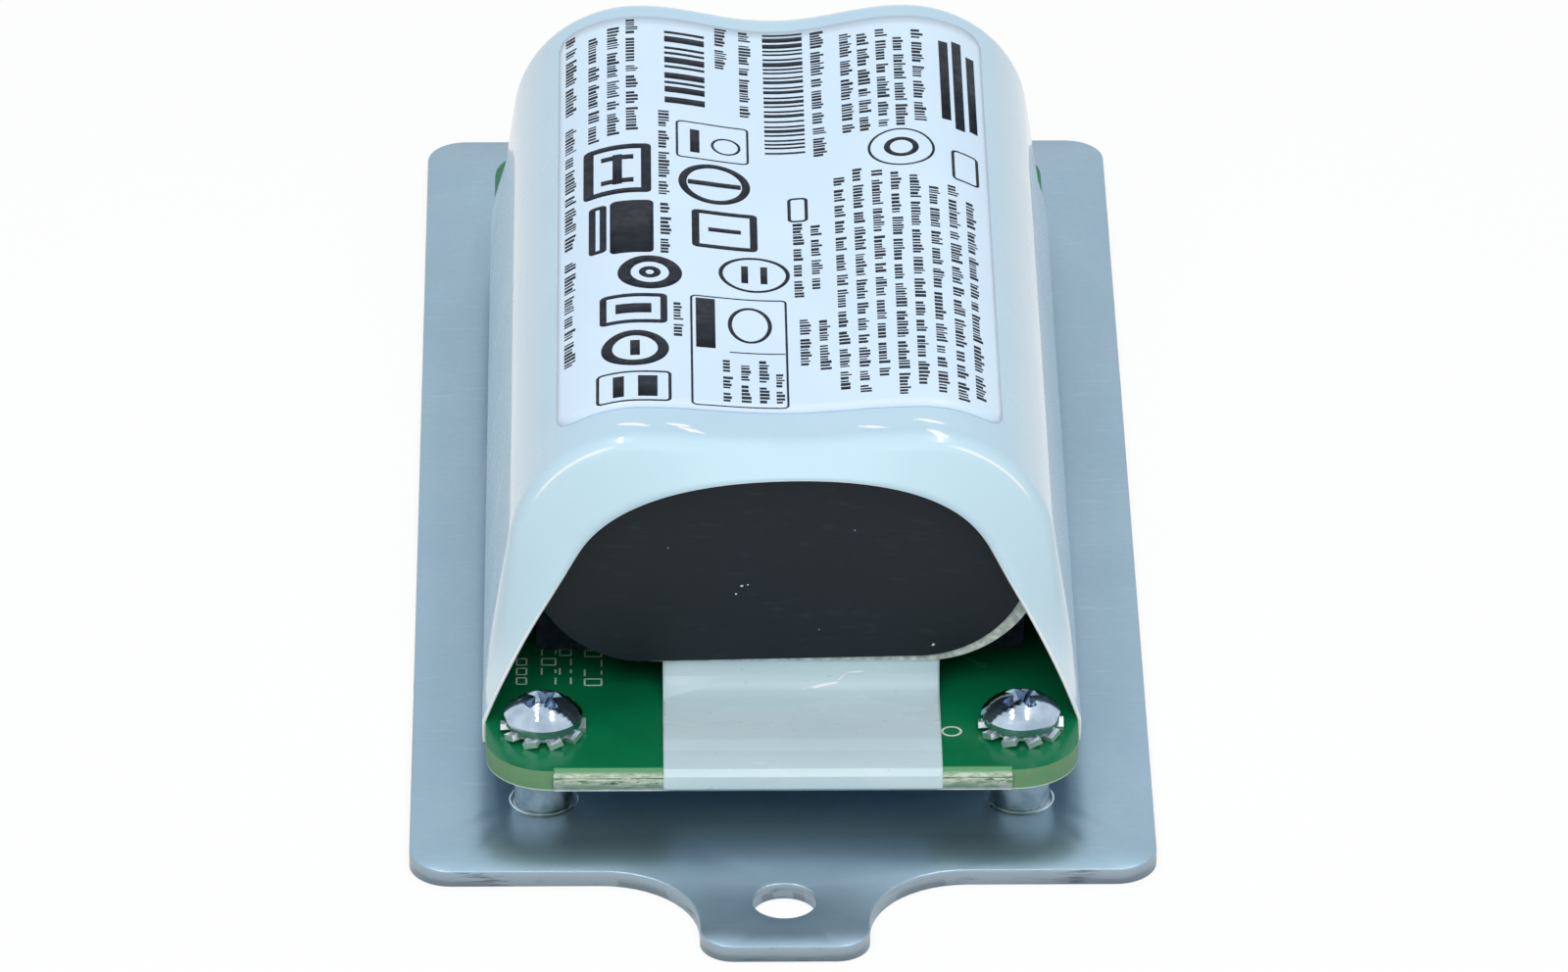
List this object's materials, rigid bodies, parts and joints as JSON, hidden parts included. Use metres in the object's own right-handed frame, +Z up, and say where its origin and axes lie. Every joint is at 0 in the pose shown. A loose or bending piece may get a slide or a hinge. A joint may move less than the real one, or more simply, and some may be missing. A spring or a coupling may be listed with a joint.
{
  "type": "raid battery module",
  "caption": "Backup battery module: lithium-ion cells in a white shrink sleeve on a small circuit board, screwed to a zinc-coated steel plate with a screw tab.",
  "frame": {"origin": "centre of the footprint, tab included, on the underside of the plate", "axes": "+Y along the plate, away from the screw tab and towards the socket; +X to the right seen from the tab; +Z up, out of the plate towards the cells"},
  "size_m": [0.0532, 0.1202, 0.0283],
  "materials": {
    "zinc_sheet": "galvanised sheet, satin, with bright sheared edges",
    "zinc_standoff": "bright zinc plate, turned",
    "solder_mask": "green solder mask over glass epoxy",
    "zinc_screw": "bright zinc plate",
    "zinc_washer": "bright zinc plate",
    "cell_wrap": "heat-shrunk cell wrap",
    "bond_foam": "double-sided foam strip",
    "black_foam": "closed-cell foam, matt",
    "ring_paper": "pressed paper",
    "nickel_strip": "bare nickel, satin",
    "backing_paper": "off-white release paper",
    "black_sheet": "black fibre sheet, satin",
    "white_film": "white heat-shrink film, glossy",
    "label_film": "printed film label, satin",
    "white_tape": "white tape, glossy",
    "socket_plastic": "moulded, matt",
    "contact_brass": "plated",
    "chip_plastic": "moulded, matt",
    "fuse_ceramic": "with tinned ends",
    "resistor_ceramic": "with tinned ends",
    "capacitor_ceramic": "with tinned ends",
    "thermistor_ceramic": "with tinned ends"
  },
  "bodies": {
    "root": {"base_plate": "zinc_sheet", "clinch_standoffs": "zinc_standoff", "circuit_board": "solder_mask", "board_screws": "zinc_screw", "lock_washers": "zinc_washer", "cell_left": "cell_wrap", "cell_right": "cell_wrap", "cell_bond_strip": "bond_foam", "front_spacer": "black_foam", "rear_spacer": "black_foam", "terminal_rings": "ring_paper", "series_link": "nickel_strip", "positive_tab": "nickel_strip", "negative_tab": "nickel_strip", "insulator_backing": "backing_paper", "front_insulator": "black_sheet", "rear_insulator": "black_sheet", "shrink_sleeve": "white_film", "sleeve_label": "label_film", "edge_tape": "white_tape", "socket_body": "socket_plastic", "socket_contacts": "contact_brass", "gauge_chip": "chip_plastic", "power_switches": "chip_plastic", "board_fuse": "fuse_ceramic", "sense_resistor": "resistor_ceramic", "chip_capacitors": "capacitor_ceramic", "chip_resistors": "resistor_ceramic", "thermistor": "thermistor_ceramic"}
  },
  "joints": []
}
